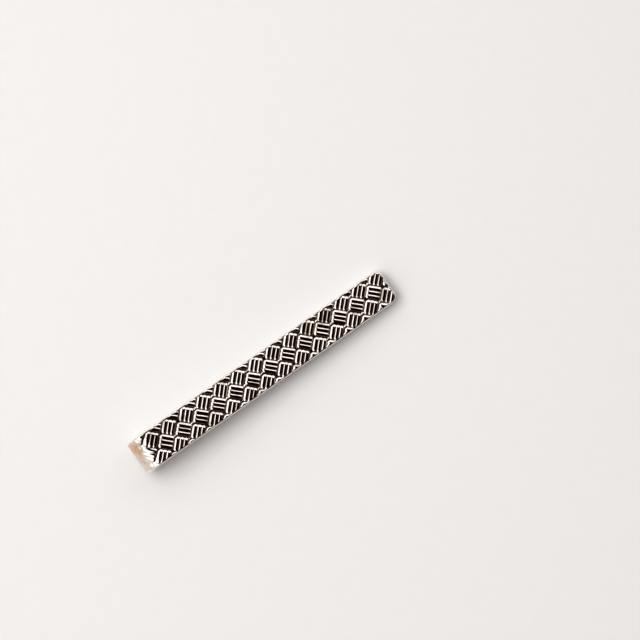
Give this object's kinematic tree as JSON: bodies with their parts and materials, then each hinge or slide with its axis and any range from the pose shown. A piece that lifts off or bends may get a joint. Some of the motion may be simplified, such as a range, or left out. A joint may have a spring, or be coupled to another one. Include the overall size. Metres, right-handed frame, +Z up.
{
  "type": "money clip",
  "caption": "Slim money clip: a narrow silver strip, stamped with a diagonal basket weave and bent once into a springy U that grips folded notes.",
  "frame": {"origin": "the middle of the bounding box's bottom face, on the surface that the back arm lies on", "axes": "+X along the strip from the bend towards the tips, +Y across the strip, +Z up from the back arm to the front arm"},
  "size_m": [0.054, 0.0064, 0.0072],
  "materials": {
    "silver": "polished silver, darkened between the raised bars"
  },
  "bodies": {
    "back_arm": {"back_arm": "silver"},
    "spring_bend": {"spring_bend": "silver"},
    "front_arm": {"front_arm": "silver"}
  },
  "joints": [
    {"name": "bend_flex", "type": "hinge", "parent": "back_arm", "child": "spring_bend", "pos_m": [-0.02522, 0, 0.00178], "axis": [0, -1, 0], "range_deg": [0, 4.5], "stiffness_Nm_per_rad": 2.54},
    {"name": "front_flex", "type": "hinge", "parent": "spring_bend", "child": "front_arm", "pos_m": [-0.02522, 0, 0.00542], "axis": [0, -1, 0], "range_deg": [0, 4.5], "stiffness_Nm_per_rad": 2.54}
  ],
  "couplings": [
    {"joint": "front_flex", "follows": "bend_flex", "ratio": 1}
  ]
}
